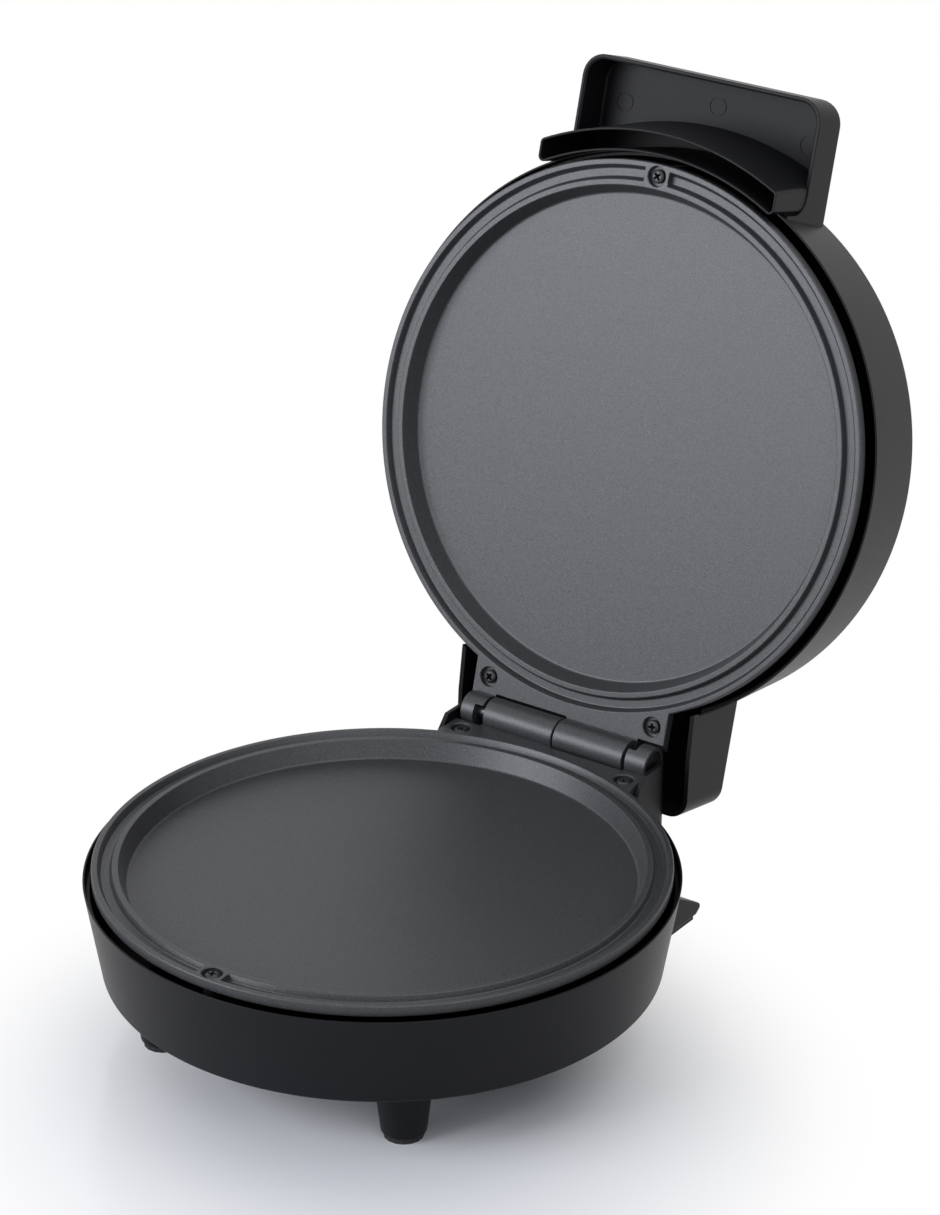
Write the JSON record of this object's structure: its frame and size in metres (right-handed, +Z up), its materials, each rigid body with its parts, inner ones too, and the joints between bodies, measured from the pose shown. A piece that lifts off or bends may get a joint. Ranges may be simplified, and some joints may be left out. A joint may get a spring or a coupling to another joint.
{
  "type": "pancake maker",
  "caption": "Round countertop pancake maker: two shallow recessed heated plates in black housings, joined by a rear hinge, with a box-shaped handle and guard on the lid and splayed feet.",
  "frame": {"origin": "on the table, under the middle of the open appliance: halfway between the base's front and the lid's rear, on its plane of symmetry", "axes": "+X to the user's right, -Y to the front where the user stands, +Z up; the hinge axis lies along X behind the plates"},
  "size_m": [0.3092, 0.4704, 0.4359],
  "materials": {
    "black_plastic": "satin black heat-resistant plastic",
    "plate_coating": "die-cast aluminium with a finely grained charcoal non-stick coating",
    "black_steel": "blackened steel",
    "pin_steel": "plain bright steel",
    "shield_steel": "aluminised steel sheet",
    "element_steel": "heat-tinted stainless tube",
    "black_rubber": "matte black rubber",
    "white_ceramic": "unglazed white ceramic",
    "red_lens": "clear red",
    "green_lens": "clear green",
    "bulb_glass": "clear glass"
  },
  "bodies": {
    "base": {"base_housing": "black_plastic", "cord_gland": "black_rubber", "front_foot_pad_left": "black_rubber", "front_foot_pad_right": "black_rubber", "hinge_pin": "pin_steel", "lower_heat_shield": "shield_steel", "lower_heating_element": "element_steel", "lower_plate": "plate_coating", "lower_plate_screw_front": "black_steel", "lower_plate_screw_left": "black_steel", "lower_plate_screw_right": "black_steel", "lower_shield_nut": "pin_steel", "pin_clip_left": "black_steel", "pin_clip_right": "black_steel", "rear_foot_pad_left": "black_rubber", "rear_foot_pad_right": "black_rubber", "terminal_block": "white_ceramic", "thermal_fuse": "pin_steel", "thermostat": "white_ceramic"},
    "lid": {"lid_housing": "black_plastic", "power_lamp": "bulb_glass", "power_lamp_lens": "red_lens", "ready_lamp": "bulb_glass", "ready_lamp_lens": "green_lens", "upper_heat_shield": "shield_steel", "upper_heating_element": "element_steel", "upper_plate": "plate_coating", "upper_plate_screw_front": "black_steel", "upper_plate_screw_left": "black_steel", "upper_plate_screw_right": "black_steel", "upper_shield_nut": "pin_steel"}
  },
  "joints": [
    {"name": "lid_hinge", "type": "hinge", "parent": "base", "child": "lid", "pos_m": [0, 0.08413, 0.096], "axis": [1, 0, 0], "range_deg": [0, 105.31]}
  ]
}
